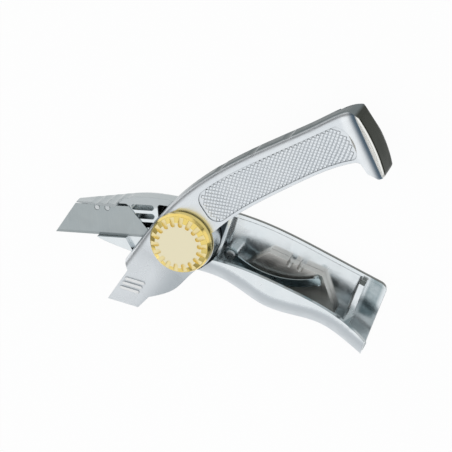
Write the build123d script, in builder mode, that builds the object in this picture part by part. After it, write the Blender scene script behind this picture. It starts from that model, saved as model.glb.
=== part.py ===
"""Swing-open fixed-blade utility knife, opened as for a change of blade.

Millimetres. The pivot stands on the origin and points up +Z, the flat back of the rear shell lies on
Z = 0, and +X runs along the cutting edge of the working blade, from its tip towards the handle.
Every outline is drawn on the closed knife; the front shell is drawn on a plane turned by OPEN_ANGLE.
Handle places are given as (s, n): s along the handle's axis from the pivot, n square to it.
"""
import os
from math import atan2, cos, radians, sin

from build123d import *

# Blades: the standard trapezoid that the knife is made around
BLADE_LENGTH = 62.0
BLADE_HEIGHT = 19.0
BLADE_SHORT_EDGE = 33.4
BLADE_THICKNESS = 0.65
NOTCH_WIDTH = 3.4
NOTCH_DEPTH = 3.6
NOTCH_SPACING = 6.4
BEVEL_WIDTH = 1.7
BEVEL_DEPTH = 0.27
BLADE_TIP_X = -84.1
BLADE_EDGE_Y = -5.55
PEG_CLEARANCE = 0.3
PEG_FOOT = 9.0
PEG_TOP = 13.2
BLADE_SLOT_CLEARANCE = 0.25
BLADE_SEAT_GAP = 0.02

# Spare blades: a stack in the handle, cutting edges towards the belly
SPARE_COUNT = 8
SPARE_S = 32.8
SPARE_N = -12.7
SPARE_GAP = 0.05
SPARE_SEAT_GAP = 0.15
SPARE_RIB_STATIONS = (46.0, 82.0)
SPARE_RIB_WIDTH = 2.2
SPARE_EDGE_GAP = 0.3

# The closed knife
HANDLE_DROP = 22.0
OPEN_ANGLE = 53.0
BODY_DEPTH = 26.0
BELLY_DEPTH = 24.0
SEAT_Z = 12.6
FRONT_GAP = 0.35
SPINE_NOSE = ((-37.2, 20.6), (-13.0, 19.9))
SPINE_HANDLE = ((6.5, 21.4), (36.0, 24.9), (72.0, 23.8), (110.0, 20.7), (124.0, 19.7), (133.2, 17.4))
BELLY = ((13.0, -20.2), (25.0, -18.8), (38.0, -20.3), (55.0, -23.6), (74.0, -21.5), (90.0, -19.3),
         (104.0, -22.0), (118.0, -26.8))
BELLY_NOSE = ((-12.0, -20.6), (-38.5, -14.1), (-52.0, -9.4))
SEAM = ((20.0, -4.5), (38.0, -2.1), (66.0, -2.1), (86.0, -3.0), (107.0, -5.4), (118.9, -8.6))
RIM = ((20.0, -5.0), (38.0, -2.6), (66.0, -2.6), (86.0, -3.8), (104.0, -7.4), (120.0, -14.6))

# Nose: both shells thin down towards the tip
NOSE_TIP_X = -67.0
NOSE_TOP_Y = 16.5
NOSE_FOOT = (-57.0, -6.0)
NOSE_TAPER_X = -72.0
NOSE_BACK_START = -26.0
NOSE_BACK_RISE = 8.3
NOSE_FRONT_START = -16.0
NOSE_FRONT_FALL = 9.0
NOSE_BLEND = 60.0

# Rear shell
REAR_END = 118.0
REAR_INSET = 3.6
REAR_NOSE_TOP = ((-36.0, 19.2), (-10.0, 18.4))
REAR_CORNER = 5.5
BACK_ROUND = 6.0
BELLY_ROUND = 13.0
FLOOR = 3.0
TOP_LIP_Z = 7.0
TOP_LIP_WALL = 2.0
BELLY_WALL = 2.6
HOLLOW_ROUND = 9.0
TROUGH_ROUND = 2.4
BULKHEAD_S = 19.0
BULKHEAD_WALL = 2.0
PARTITION_S = 102.0
PARTITION_WALL = 3.2
BAR_END = ((-38.3, 20.5), (-41.5, 16.0))
THUMB_GROOVES = 4
THUMB_PITCH = 5.75
THUMB_RADIUS = 4.5
THUMB_DEPTH = 0.9
THUMB_FIRST_X = -54.3
LIP_TOP_Z = 15.4
NOSE_RIB = 2.0
NOSE_ROWS = (2.15, 7.55, 12.95)
NOSE_POCKET_COLUMNS = ((-46.0, -37.0, 7.6), (-35.0, -21.2, 4.4))
PIVOT_POCKET = ((-18.8, 15.4), (4.0, 13.2), (18.2, 6.8), (15.2, -10.8), (9.0, -16.2), (-3.0, -17.2),
                (-18.8, -14.6))
PIVOT_POCKET_FLOOR = 3.4
POCKET_CORNER = 1.6
LEDGE_X = (-64.0, -44.0)
LEDGE_Z = 13.5
LEDGE_LAP = 0.3
STOP_FACE = ((0.5, -25.0), (10.4, -17.0))
LIP_END = ((-39.2, -5.8), (-36.0, -12.7), (-32.0, -22.0))

# Front shell
DISC_RADIUS = 19.0
DISC_START = (18.5, -4.33)
DISC_FOOT = (-5.0, -18.33)
NOSE_LOW = ((-19.4, -14.8), (-32.0, -12.6), (-39.4, -9.0))
TONGUE_STEP = (-47.5, -3.6)
TONGUE_FOOT = (-58.8, -2.0)
TONGUE_TIP_X = -67.4
TONGUE_SHOULDER_X = -41.0
TONGUE_GAP = 0.4
TONGUE_UNDER = 16.0
TONGUE_SWEEP = 37.6
SPINE_BACK_Z = 7.5
SPINE_WALL = 2.2
SPINE_LEDGE = 0.9
SPINE_ROUND = 4.4
SPINE_EASE = (6.0, 1.2)
SPINE_HOLLOW_ROUND = 5.6
FRONT_WALL = 2.6
SKIRT_WALL = 2.0
SKIRT_Z = 17.0
CAVITY_START = 22.0
CAVITY_END = 117.0
FINGER_GROOVES = (0.49, 0.62, 0.75)
FINGER_RADIUS = 9.0
FINGER_DEPTH = 0.7
PANEL_DEPTH = 0.6
PANEL_START = 22.0
PANEL_END = 118.0
PANEL_BULGE = (122.4, 3.5)
PANEL_TOP_INSET = 5.0
PANEL_LOW_INSET = 1.7
PANEL_CORNERS = (7.0, 3.0)
TONGUE_RIBS = ((-44.3, 8.4), (-48.1, 8.3), (-52.2, 8.2))
TONGUE_RIB_LENGTH = 12.4
TONGUE_RIB_WIDTH = 1.9
TONGUE_RIB_HEIGHT = 0.7
TONGUE_RIB_LEAN = 116.0

# Pommel: a full-depth cap at the end of the front shell
POMMEL_INNER = SEAM[-1][0]
POMMEL_BACK = 0.2
POMMEL_ROUND = 1.2
POMMEL_END_MID = (133.6, 0.0)
POMMEL_HOOK = (127.8, -23.2)
POMMEL_TOE = (123.2, -22.6)
POMMEL_THROAT = (POMMEL_INNER, -16.5)
POMMEL_HEEL = ((122.8, -1.0), (129.9, 4.6), (134.3, 13.5))
POMMEL_BOWL = ((20.5, 17.0), (-2.0, 0.0), (-24.5, 18.0))
POMMEL_HOOK_ROUND = 4.2
POMMEL_THROAT_ROUND = 4.0
POMMEL_WALL = 3.4
POMMEL_HOLLOW = 8.6
POMMEL_HOLLOW_TOP = 13.0
POMMEL_LEAN = 8.8
COVE_START = 119.5
COVE_OUT = (134.5, 32.8)

# Clamp: knob, screw, washer, sleeve, ring and insert on the pivot
SCREW_RADIUS = 4.0
SCREW_PITCH = 1.25
KNOB_TURNS = 3.0
SCREW_FOOT = 3.6
RUNNING_FIT = 0.06
SEAT_FIT = 0.02
INSERT_RADIUS = 6.4
INSERT_FOOT = 2.5
INSERT_SUNK = 0.2
BOSS_RADIUS = 9.0
SLEEVE_RADIUS = 6.4
RING_RADIUS = 6.8
RING_GROOVE = 0.7
RING_Z = 13.8
RING_THICKNESS = 1.0
RING_POCKET_RADIUS = 8.2
RING_GAP = 0.4
RING_SPLIT = 4.0
KNOB_RADIUS = 18.2
KNOB_GAP = 0.4
KNOB_HEIGHT = 7.6
KNOB_SIDE = 3.8
KNOB_SHOULDER = (17.2, 5.9)
KNOB_FLAT = 14.0
KNOB_NOTCHES = 18
NOTCH_RADIUS = 1.3
NOTCH_INNER = 11.4
NOTCH_FLOOR = 6.1
KNOB_EDGE = 0.8
WASHER_RADIUS = 10.0
WASHER_THICKNESS = 1.0
WASHER_GAP = 0.05

# Blade clip: a leaf on a post, lying over the spare stack
CLIP_ROOT = (27.0, -3.2)
CLIP_MID = (52.0, -7.2)
CLIP_TIP = (79.0, 3.2)
CLIP_WIDTH = 4.4
CLIP_THICKNESS = 0.8
CLIP_ROLL = 1.5
CLIP_ROLL_LENGTH = 5.6
CLIP_STACK_GAP = 0.3
CLIP_EYE = 4.2
CLIP_POST_GAP = 0.5
POST_RADIUS = 3.6
CLIP_SCREW_RADIUS = 1.5
CLIP_SCREW_HEAD = 3.0
CLIP_SCREW_HEAD_HEIGHT = 1.6
CLIP_SCREW_DEPTH = 4.5

# Worked out from the sizes above
FRONT_UNDER = SEAT_Z + BLADE_THICKNESS + FRONT_GAP
BLADE_TOP_Y = BLADE_EDGE_Y + BLADE_HEIGHT + BLADE_SLOT_CLEARANCE
NOTCH_X = BLADE_TIP_X + BLADE_LENGTH / 2
NOTCH_Y = BLADE_EDGE_Y + BLADE_HEIGHT - NOTCH_DEPTH + NOTCH_WIDTH / 2
PEG_RADIUS = NOTCH_WIDTH / 2 - PEG_CLEARANCE
PEGS = ((NOTCH_X - NOTCH_SPACING / 2, NOTCH_Y), (NOTCH_X + NOTCH_SPACING / 2, NOTCH_Y))
SPARE_PITCH = BLADE_THICKNESS + SPARE_GAP
SPARE_FLOOR = FLOOR + SPARE_SEAT_GAP
STACK_TOP = SPARE_FLOOR + SPARE_COUNT * SPARE_PITCH
KNOB_FOOT = BODY_DEPTH + KNOB_GAP
KNOB_TOP = KNOB_FOOT + KNOB_HEIGHT
KNOB_LIFT = SCREW_PITCH * KNOB_TURNS
RING_POCKET_TOP = RING_Z + RING_THICKNESS + KNOB_LIFT + RING_GAP
WASHER_ROOF = BODY_DEPTH + WASHER_THICKNESS + 2 * WASHER_GAP
SCREW_HEAD_Z = KNOB_FOOT + KNOB_SIDE
CLIP_ROLL_Z = STACK_TOP + CLIP_STACK_GAP + CLIP_ROLL
CLIP_Z = CLIP_ROLL_Z + CLIP_ROLL - CLIP_THICKNESS
POST_TOP = CLIP_Z - CLIP_POST_GAP
CLIP_SCREW_Z = CLIP_Z + CLIP_THICKNESS + CLIP_POST_GAP
NOSE_TOP_LEAN = (REAR_NOSE_TOP[0][1] - NOSE_TOP_Y) / (REAR_NOSE_TOP[0][0] - NOSE_TIP_X)
NOSE_FRONT_SLOPE = NOSE_FRONT_FALL / (NOSE_FRONT_START - NOSE_TAPER_X)
REACH = 200.0
STORE_START = BULKHEAD_S + BULKHEAD_WALL
END_STORE = (PARTITION_S + PARTITION_WALL, REAR_END + BACK_ROUND)
TONGUE_TOP_Y = BAR_END[1][1] - TONGUE_GAP
NOSE_ANGLE = atan2(NOSE_FRONT_FALL, NOSE_FRONT_START - NOSE_TAPER_X)


def handle(s, n):
    """Place on the closed knife, from a distance along the handle and one across it."""
    a = radians(HANDLE_DROP)
    return (s * cos(a) + n * sin(a), n * cos(a) - s * sin(a))


def opened(x, y, z=0.0):
    """Where a place on the closed front shell stands when the knife is open."""
    a = radians(OPEN_ANGLE)
    return (x * cos(a) - y * sin(a), x * sin(a) + y * cos(a), z)


def along(points, inset=0.0):
    """Places along the handle, moved across it by inset."""
    return [handle(s, n + inset) for s, n in points]


def across(points, s):
    """How far across the handle an outline lies at station s, on the line through its nearest points."""
    k = min(max(1, sum(p[0] < s for p in points)), len(points) - 1)
    (s0, n0), (s1, n1) = points[k - 1], points[k]
    return n0 + (n1 - n0) * (s - s0) / (s1 - s0)


def stretch(points, start, stop, inset=0.0):
    """Places along a handle outline from one station to another, moved across by inset."""
    inner = [(s, n) for s, n in points if start < s < stop]
    return along([(start, across(points, start)), *inner, (stop, across(points, stop))], inset)


def side_plane(turn, offset=0.0):
    """Upright plane whose x runs along the direction turn and whose y is +Z, moved across by offset."""
    a = radians(turn)
    across = Vector(-sin(a), cos(a), 0)
    return Plane(origin=across * offset, x_dir=(cos(a), sin(a), 0), z_dir=-across)


def nose_front_z(x):
    """Height of the closed knife's front face over the sloping nose."""
    return BODY_DEPTH - NOSE_FRONT_SLOPE * (NOSE_FRONT_START - x)


def beyond(curve, *places):
    """Closed run of straight lines from the end of a curve, through places, back to its start."""
    return Polyline(curve @ 1, *places, curve @ 0)


FRONT = Plane.XY.rotated((0, 0, OPEN_ANGLE))
MID_BELLY = handle(*BELLY[3]) + (BELLY_DEPTH,)
END_BELLY = handle(*BELLY[6]) + (BELLY_DEPTH,)
MID_SPINE = opened(*handle(*SPINE_HANDLE[2]), BODY_DEPTH)
NOSE_SPINE = opened(*SPINE_NOSE[1], BODY_DEPTH)
TAPER_SPINE = opened(*SPINE_NOSE[0], nose_front_z(SPINE_NOSE[0][0]))
SPINE_SIDE = opened(*handle(*SPINE_HANDLE[2]), SEAT_Z)
SPINE_FOOT = opened(*handle(*SPINE_HANDLE[2]), SPINE_BACK_Z)
RIDGE = opened(*handle(*POMMEL_END_MID), COVE_OUT[1])
NOSE_PLANE = Plane(origin=(0, 0, nose_front_z(0)), x_dir=opened(cos(NOSE_ANGLE), 0, sin(NOSE_ANGLE)),
                   z_dir=opened(-sin(NOSE_ANGLE), 0, cos(NOSE_ANGLE)))

# Rear shell: the hollow for the spare blades, with the clip's post and two rest ribs left standing in it
with BuildPart() as store:
    with BuildSketch(Plane.XY.offset(FLOOR)):
        with BuildLine():
            high = Spline(*stretch(SPINE_HANDLE, STORE_START, PARTITION_S, -REAR_INSET - TOP_LIP_WALL))
            low = Spline(*stretch(BELLY, STORE_START, PARTITION_S, BELLY_WALL))
            Line(high @ 0, low @ 0)
            Line(high @ 1, low @ 1)
        make_face()
    extrude(amount=BELLY_DEPTH - BELLY_WALL - FLOOR)
    roof = store.faces().sort_by(Axis.Z)[-1]
    fillet(roof.edges().sort_by_distance(MID_BELLY)[0], radius=HOLLOW_ROUND)
    fillet(store.faces().sort_by(Axis.Z)[0].edges(), radius=TROUGH_ROUND)
    with BuildSketch(Plane.XY.rotated((0, 0, -HANDLE_DROP))):
        with Locations(*[(s, SPARE_N - SPARE_EDGE_GAP) for s in SPARE_RIB_STATIONS]):
            Rectangle(SPARE_RIB_WIDTH, BELLY_ROUND, align=(Align.CENTER, Align.MAX))
    extrude(amount=STACK_TOP, mode=Mode.SUBTRACT)
    with BuildSketch():
        with Locations(handle(*CLIP_ROOT)):
            Circle(POST_RADIUS)
    extrude(amount=POST_TOP, mode=Mode.SUBTRACT)

# Rear shell: the hollow behind the partition, open at the pommel
with BuildPart() as pommel_store:
    with BuildSketch(Plane.XY.offset(FLOOR)):
        with BuildLine():
            high = Polyline(*stretch(SPINE_HANDLE, *END_STORE, -REAR_INSET - TOP_LIP_WALL))
            low = Polyline(*stretch(BELLY, *END_STORE, BELLY_WALL))
            Line(high @ 0, low @ 0)
            Line(high @ 1, low @ 1)
        make_face()
    extrude(amount=BELLY_DEPTH - BELLY_WALL - FLOOR)
    roof = pommel_store.faces().sort_by(Axis.Z)[-1]
    fillet(roof.edges().sort_by_distance(END_BELLY)[0], radius=HOLLOW_ROUND)

# Rear shell: one casting, cut down from the closed knife's outline
with BuildPart() as rear_shell:
    with BuildSketch():
        with BuildLine():
            top = Spline(*REAR_NOSE_TOP, *stretch(SPINE_HANDLE, SPINE_HANDLE[0][0], REAR_END, -REAR_INSET))
            belly = Spline(*along(BELLY[::-1]), *BELLY_NOSE)
            Line(top @ 1, belly @ 0)
            Polyline(belly @ 1, NOSE_FOOT, (NOSE_TIP_X, NOSE_TOP_Y), top @ 0)
        make_face()
        fillet(vertices().sort_by_distance(top @ 1)[0], radius=REAR_CORNER)
    extrude(amount=BELLY_DEPTH)
    # Back of the nose rises towards the tip
    with BuildSketch(Plane.XZ.offset(-REACH / 2)):
        with BuildLine():
            back = FilletPolyline((0, 0), (NOSE_BACK_START, 0), (NOSE_TAPER_X, NOSE_BACK_RISE),
                                  radius=NOSE_BLEND)
            beyond(back, (NOSE_TAPER_X, -REACH), (0, -REACH))
        make_face()
    extrude(amount=REACH, mode=Mode.SUBTRACT)
    back_edges = rear_shell.edges().filter_by(lambda e: e.center().Z < NOSE_BACK_RISE
                                              and abs((e @ 0).Z - (e @ 1).Z) < NOSE_BACK_RISE
                                              and abs(e.tangent_at(0.5).Y) < 0.999)
    fillet(back_edges.sort_by_distance(handle(REAR_END, 0))[1:], radius=BACK_ROUND)
    rim_face = rear_shell.faces().sort_by(Axis.Z)[-1]
    fillet(rim_face.edges().sort_by_distance(MID_BELLY)[0], radius=BELLY_ROUND)
    # Space of the front shell: above the seam, round the pivot and over the nose, beside the bar and lip
    with BuildSketch(Plane.XY.offset(SEAT_Z)):
        with BuildLine():
            rim = Spline(*along(RIM))
            beyond(rim, handle(REACH, 0), (BAR_END[0][0], REACH), *BAR_END, (-REACH, BAR_END[1][1]),
                   (-REACH, LIP_END[0][1]), *LIP_END, *STOP_FACE)
        make_face()
    extrude(amount=REACH, mode=Mode.SUBTRACT)
    # The bar and the lip are trimmed to the front of the nose
    with BuildSketch(Plane.XZ.offset(-REACH / 2)):
        with BuildLine():
            front_line = FilletPolyline((0, BODY_DEPTH), (NOSE_FRONT_START, BODY_DEPTH),
                                        (NOSE_TAPER_X, BODY_DEPTH - NOSE_FRONT_FALL), radius=NOSE_BLEND)
            beyond(front_line, (NOSE_TAPER_X, REACH), (0, REACH))
        make_face()
    extrude(amount=REACH, mode=Mode.SUBTRACT)
    with BuildSketch(Plane.XY.offset(LIP_TOP_Z)):
        with BuildLine():
            Polyline((-REACH, 0), (-REACH, -REACH), STOP_FACE[0], (STOP_FACE[0][0], 0), close=True)
        make_face()
    extrude(amount=REACH, mode=Mode.SUBTRACT)
    # Hollows behind the seam, and the low upper lip of the trough
    add(store.part, mode=Mode.SUBTRACT)
    add(pommel_store.part, mode=Mode.SUBTRACT)
    with BuildSketch(Plane.XY.offset(TOP_LIP_Z)):
        with BuildLine():
            lip_line = Spline(*stretch(SPINE_HANDLE, STORE_START, REAR_END, -REAR_INSET - 2 * TOP_LIP_WALL))
            beyond(lip_line, handle(REACH, 0), handle(REACH, REACH), handle(STORE_START, REACH))
        make_face()
    extrude(amount=SEAT_Z - TOP_LIP_Z, mode=Mode.SUBTRACT)
    # Ribbed pockets under the blade and the deep one round the pivot boss
    with BuildSketch(Plane.XY.offset(PIVOT_POCKET_FLOOR)):
        with BuildLine():
            Polyline(*PIVOT_POCKET, close=True)
        make_face()
        fillet(vertices(), radius=POCKET_CORNER)
        Circle(BOSS_RADIUS, mode=Mode.SUBTRACT)
    extrude(amount=SEAT_Z - PIVOT_POCKET_FLOOR, mode=Mode.SUBTRACT)
    for left, right, pocket_floor in NOSE_POCKET_COLUMNS:
        with BuildSketch(Plane.XY.offset(pocket_floor)):
            with Locations(*[((left + right) / 2, y) for y in NOSE_ROWS]):
                RectangleRounded(right - left, NOSE_ROWS[1] - NOSE_ROWS[0] - NOSE_RIB, POCKET_CORNER)
        extrude(amount=SEAT_Z - pocket_floor, mode=Mode.SUBTRACT)
    # Stop for the blade's back edge, peg holes, insert bore and thumb grooves
    with BuildSketch(Plane.XY.offset(SEAT_Z - NOSE_RIB)):
        with Locations(((LEDGE_X[0] + LEDGE_X[1]) / 2, BLADE_TOP_Y)):
            Rectangle(LEDGE_X[1] - LEDGE_X[0], BAR_END[1][1] - BLADE_TOP_Y + LEDGE_LAP,
                      align=(Align.CENTER, Align.MIN))
    extrude(amount=LEDGE_Z - SEAT_Z + NOSE_RIB)
    with BuildSketch(Plane.XY.offset(PEG_FOOT)):
        with Locations(*PEGS):
            Circle(PEG_RADIUS + SEAT_FIT)
    extrude(amount=SEAT_Z - PEG_FOOT, mode=Mode.SUBTRACT)
    with BuildSketch(Plane.XY.offset(INSERT_FOOT)):
        Circle(INSERT_RADIUS + SEAT_FIT)
    extrude(amount=SEAT_Z - INSERT_FOOT, mode=Mode.SUBTRACT)
    with BuildSketch(Plane.XY.offset(POST_TOP - CLIP_SCREW_DEPTH)):
        with Locations(handle(*CLIP_ROOT)):
            Circle(CLIP_SCREW_RADIUS + SEAT_FIT)
    extrude(amount=CLIP_SCREW_DEPTH, mode=Mode.SUBTRACT)
    with BuildSketch():
        with Locations(*[(x, NOSE_TOP_Y + (x - NOSE_TIP_X) * NOSE_TOP_LEAN + THUMB_RADIUS - THUMB_DEPTH)
                         for x in [THUMB_FIRST_X + THUMB_PITCH * k for k in range(THUMB_GROOVES)]]):
            Circle(THUMB_RADIUS)
    extrude(amount=BODY_DEPTH, mode=Mode.SUBTRACT)

# Front shell: the closed knife's front face and spine
with BuildPart() as cavity:
    with BuildSketch(FRONT):
        with BuildLine():
            high = Spline(*stretch(SPINE_HANDLE, CAVITY_START, CAVITY_END, -SPINE_WALL - SPINE_LEDGE))
            low = Spline(*stretch(SEAM, CAVITY_START, CAVITY_END, SKIRT_WALL))
            Line(high @ 0, low @ 0)
            Line(high @ 1, low @ 1)
        make_face()
    extrude(amount=BODY_DEPTH - FRONT_WALL)
    roof = cavity.faces().sort_by(Axis.Z)[-1]
    fillet(roof.edges().sort_by_distance(MID_SPINE)[0], radius=SPINE_HOLLOW_ROUND)

# Front shell: the whole casting
with BuildPart() as front_shell:
    with BuildSketch(FRONT.offset(POMMEL_BACK)):
        with BuildLine():
            back_line = Spline(*SPINE_NOSE, *along(SPINE_HANDLE))
            heel = ThreePointArc(back_line @ 1, handle(*POMMEL_END_MID), handle(*POMMEL_HOOK))
            seam = Spline(*along(SEAM[::-1]))
            Polyline(heel @ 1, handle(*POMMEL_TOE), handle(*POMMEL_THROAT), seam @ 0)
            to_disc = Line(seam @ 1, handle(*DISC_START))
            disc = RadiusArc(to_disc @ 1, DISC_FOOT, DISC_RADIUS)
            nose_low = Spline(disc @ 1, *NOSE_LOW, TONGUE_STEP)
            Polyline(nose_low @ 1, TONGUE_FOOT, (TONGUE_TIP_X, TONGUE_TOP_Y),
                     (TONGUE_SHOULDER_X, TONGUE_TOP_Y), back_line @ 0)
        make_face()
        fillet(vertices().sort_by_distance(handle(*SEAM[-1]))[0], radius=POMMEL_THROAT_ROUND)
        fillet(vertices().sort_by_distance(handle(*POMMEL_HOOK))[0], radius=POMMEL_HOOK_ROUND)
    extrude(amount=COVE_OUT[1] - POMMEL_BACK)
    # Front face, rising in a cove to the pommel's ridge
    with BuildSketch(side_plane(OPEN_ANGLE - HANDLE_DROP - POMMEL_LEAN, REACH)):
        with BuildLine():
            face_line = Line((-REACH, BODY_DEPTH), (COVE_START, BODY_DEPTH))
            cove = TangentArc(face_line @ 1, COVE_OUT, tangent=(1, 0))
            Polyline(cove @ 1, (COVE_OUT[0], REACH), (-REACH, REACH), face_line @ 0)
        make_face()
    extrude(amount=2 * REACH, mode=Mode.SUBTRACT)
    # Front of the nose falls towards the tip
    with BuildSketch(side_plane(OPEN_ANGLE, REACH / 2)):
        with BuildLine():
            nose_line = FilletPolyline((0, BODY_DEPTH), (NOSE_FRONT_START, BODY_DEPTH),
                                       (NOSE_TAPER_X, BODY_DEPTH - NOSE_FRONT_FALL), radius=NOSE_BLEND)
            beyond(nose_line, (NOSE_TAPER_X, REACH), (0, REACH))
        make_face()
    extrude(amount=REACH, mode=Mode.SUBTRACT)
    # Rounded spine, from the nose to the pommel
    face_edges = front_shell.edges().filter_by(lambda e: e.center().Z > FRONT_UNDER
                                               and abs((e @ 0).Z - (e @ 1).Z) < NOSE_FRONT_FALL)
    fillet([face_edges.sort_by_distance(place)[0] for place in (MID_SPINE, NOSE_SPINE, TAPER_SPINE)],
           radius=SPINE_ROUND)
    # Rounded ridge round the pommel's end
    fillet(front_shell.edges().sort_by_distance(RIDGE)[0], radius=POMMEL_ROUND)
    # Back of the pommel, rounded off along and across the handle
    with BuildSketch(side_plane(OPEN_ANGLE - HANDLE_DROP, REACH / 2)):
        with BuildLine():
            heel_line = ThreePointArc(*POMMEL_HEEL)
            beyond(heel_line, (REACH, POMMEL_HEEL[2][1]), (REACH, -REACH), (POMMEL_HEEL[0][0], -REACH))
        make_face()
    extrude(amount=REACH, mode=Mode.SUBTRACT)
    with BuildSketch(side_plane(OPEN_ANGLE - HANDLE_DROP + 90, -POMMEL_INNER)):
        with BuildLine():
            bowl_line = ThreePointArc(*POMMEL_BOWL)
            beyond(bowl_line, (-REACH, POMMEL_BOWL[2][1]), (-REACH, -REACH), (REACH, -REACH),
                   (REACH, POMMEL_BOWL[0][1]))
        make_face()
    extrude(amount=REACH, mode=Mode.SUBTRACT)
    # Space of the rear shell, up to the clamping face, all but the wall behind the spine
    with BuildSketch(FRONT):
        with BuildLine():
            wall = Spline(*stretch(SPINE_HANDLE, SPINE_HANDLE[0][0], POMMEL_INNER, -SPINE_WALL))
            beyond(wall, handle(POMMEL_INNER, -REACH), (-REACH, -REACH), (-REACH, REACH),
                   handle(SPINE_HANDLE[0][0], REACH))
        make_face()
    extrude(amount=FRONT_UNDER, mode=Mode.SUBTRACT)
    with BuildSketch(side_plane(OPEN_ANGLE - HANDLE_DROP, REACH)):
        with Locations((POMMEL_INNER, 0)):
            Rectangle(2 * REACH, 2 * SPINE_BACK_Z, align=(Align.MAX, Align.CENTER))
    extrude(amount=2 * REACH, mode=Mode.SUBTRACT)
    # Lower edge of the spine, eased inwards
    spine_wall = front_shell.faces().sort_by_distance(SPINE_SIDE)[0]
    chamfer(front_shell.edges().sort_by_distance(SPINE_FOOT)[0], length=SPINE_EASE[0],
            length2=SPINE_EASE[1], reference=spine_wall)
    # Hollow of the pommel
    with BuildSketch(side_plane(OPEN_ANGLE - HANDLE_DROP, POMMEL_HOLLOW_TOP)):
        with Locations((POMMEL_INNER - POMMEL_WALL, SPINE_BACK_Z)):
            Rectangle(POMMEL_HOLLOW + POMMEL_WALL, BODY_DEPTH - FRONT_WALL - SPINE_BACK_Z,
                      align=(Align.MIN, Align.MIN))
    extrude(amount=2 * POMMEL_HOLLOW_TOP, mode=Mode.SUBTRACT)
    # The tongue passes over the lip of the rear shell
    with BuildSketch(FRONT):
        with Locations((NOSE_FRONT_START, 0)):
            Rectangle(REACH, REACH, align=(Align.MAX, Align.CENTER))
        Circle(TONGUE_SWEEP, mode=Mode.SUBTRACT)
    extrude(amount=TONGUE_UNDER, mode=Mode.SUBTRACT)
    # Hollow handle, with a short skirt beside the seam
    add(cavity.part, mode=Mode.SUBTRACT)
    with BuildSketch(FRONT):
        with BuildLine():
            skirt = Spline(*stretch(SEAM, CAVITY_START, CAVITY_END, 2 * SKIRT_WALL))
            beyond(skirt, handle(CAVITY_END, -REACH), handle(CAVITY_START, -REACH))
        make_face()
    extrude(amount=SKIRT_Z, mode=Mode.SUBTRACT)
    # Recessed grip panel and finger grooves
    with BuildSketch(FRONT.offset(BODY_DEPTH - PANEL_DEPTH)):
        with BuildLine():
            high = Spline(*stretch(SPINE_HANDLE, PANEL_START, PANEL_END, -PANEL_TOP_INSET))
            low = Spline(*stretch(SEAM, PANEL_START, PANEL_END, PANEL_LOW_INSET))
            Line(high @ 0, low @ 0)
            ThreePointArc(high @ 1, handle(*PANEL_BULGE), low @ 1)
        make_face()
        for radius, places in zip(PANEL_CORNERS, ((high @ 0, low @ 0), (high @ 1, low @ 1))):
            fillet([vertices().sort_by_distance(place)[0] for place in places], radius=radius)
    extrude(amount=PANEL_DEPTH, mode=Mode.SUBTRACT)
    with BuildSketch(FRONT):
        with Locations(*[back_line @ u + (back_line % u).rotate(Axis.Z, 90) * (FINGER_RADIUS - FINGER_DEPTH)
                         for u in FINGER_GROOVES]):
            Circle(FINGER_RADIUS)
    extrude(amount=BODY_DEPTH, mode=Mode.SUBTRACT)
    # Raised ribs on the tongue
    with BuildSketch(NOSE_PLANE.offset(-TONGUE_RIB_HEIGHT)):
        with Locations(*TONGUE_RIBS):
            SlotOverall(TONGUE_RIB_LENGTH, TONGUE_RIB_WIDTH, rotation=TONGUE_RIB_LEAN)
    extrude(amount=2 * TONGUE_RIB_HEIGHT)
    # Pivot bore and the ring's pocket
    with BuildSketch():
        Circle(SLEEVE_RADIUS + SEAT_FIT)
    extrude(amount=REACH, mode=Mode.SUBTRACT)
    with BuildSketch():
        Circle(RING_POCKET_RADIUS)
    extrude(amount=RING_POCKET_TOP, mode=Mode.SUBTRACT)

# Threaded insert in the rear shell's boss
with BuildPart() as threaded_insert:
    with BuildSketch(Plane.XY.offset(INSERT_FOOT)):
        Circle(INSERT_RADIUS)
        Circle(SCREW_RADIUS + RUNNING_FIT, mode=Mode.SUBTRACT)
    extrude(amount=SEAT_Z - INSERT_FOOT - INSERT_SUNK)

# Sleeve in the front shell's bore
with BuildPart() as pivot_sleeve:
    with BuildSketch(Plane.XY.offset(RING_POCKET_TOP)):
        Circle(SLEEVE_RADIUS)
        Circle(SCREW_RADIUS + RUNNING_FIT, mode=Mode.SUBTRACT)
    extrude(amount=BODY_DEPTH - RING_POCKET_TOP)

# Clamp screw, with a groove for the retaining ring
with BuildPart() as clamp_screw:
    with BuildSketch(Plane.XY.offset(SCREW_FOOT)):
        Circle(SCREW_RADIUS)
    extrude(amount=SCREW_HEAD_Z - SCREW_FOOT)
    chamfer(clamp_screw.faces().sort_by(Axis.Z)[0].edges(), length=RING_GROOVE)
    with BuildSketch(Plane.XY.offset(RING_Z - SEAT_FIT)):
        Circle(SCREW_RADIUS)
        Circle(SCREW_RADIUS - RING_GROOVE, mode=Mode.SUBTRACT)
    extrude(amount=RING_THICKNESS + 2 * SEAT_FIT, mode=Mode.SUBTRACT)

# Split ring in that groove
with BuildPart() as retaining_ring:
    with BuildSketch(Plane.XY.offset(RING_Z)):
        Circle(RING_RADIUS)
        Circle(SCREW_RADIUS - RING_GROOVE + SEAT_FIT, mode=Mode.SUBTRACT)
        Rectangle(RING_RADIUS, RING_SPLIT, align=(Align.MIN, Align.CENTER), mode=Mode.SUBTRACT)
    extrude(amount=RING_THICKNESS)

# Thrust washer under the knob
with BuildPart() as thrust_washer:
    with BuildSketch(Plane.XY.offset(BODY_DEPTH + WASHER_GAP)):
        Circle(WASHER_RADIUS)
        Circle(SCREW_RADIUS + RUNNING_FIT, mode=Mode.SUBTRACT)
    extrude(amount=WASHER_THICKNESS)

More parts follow.
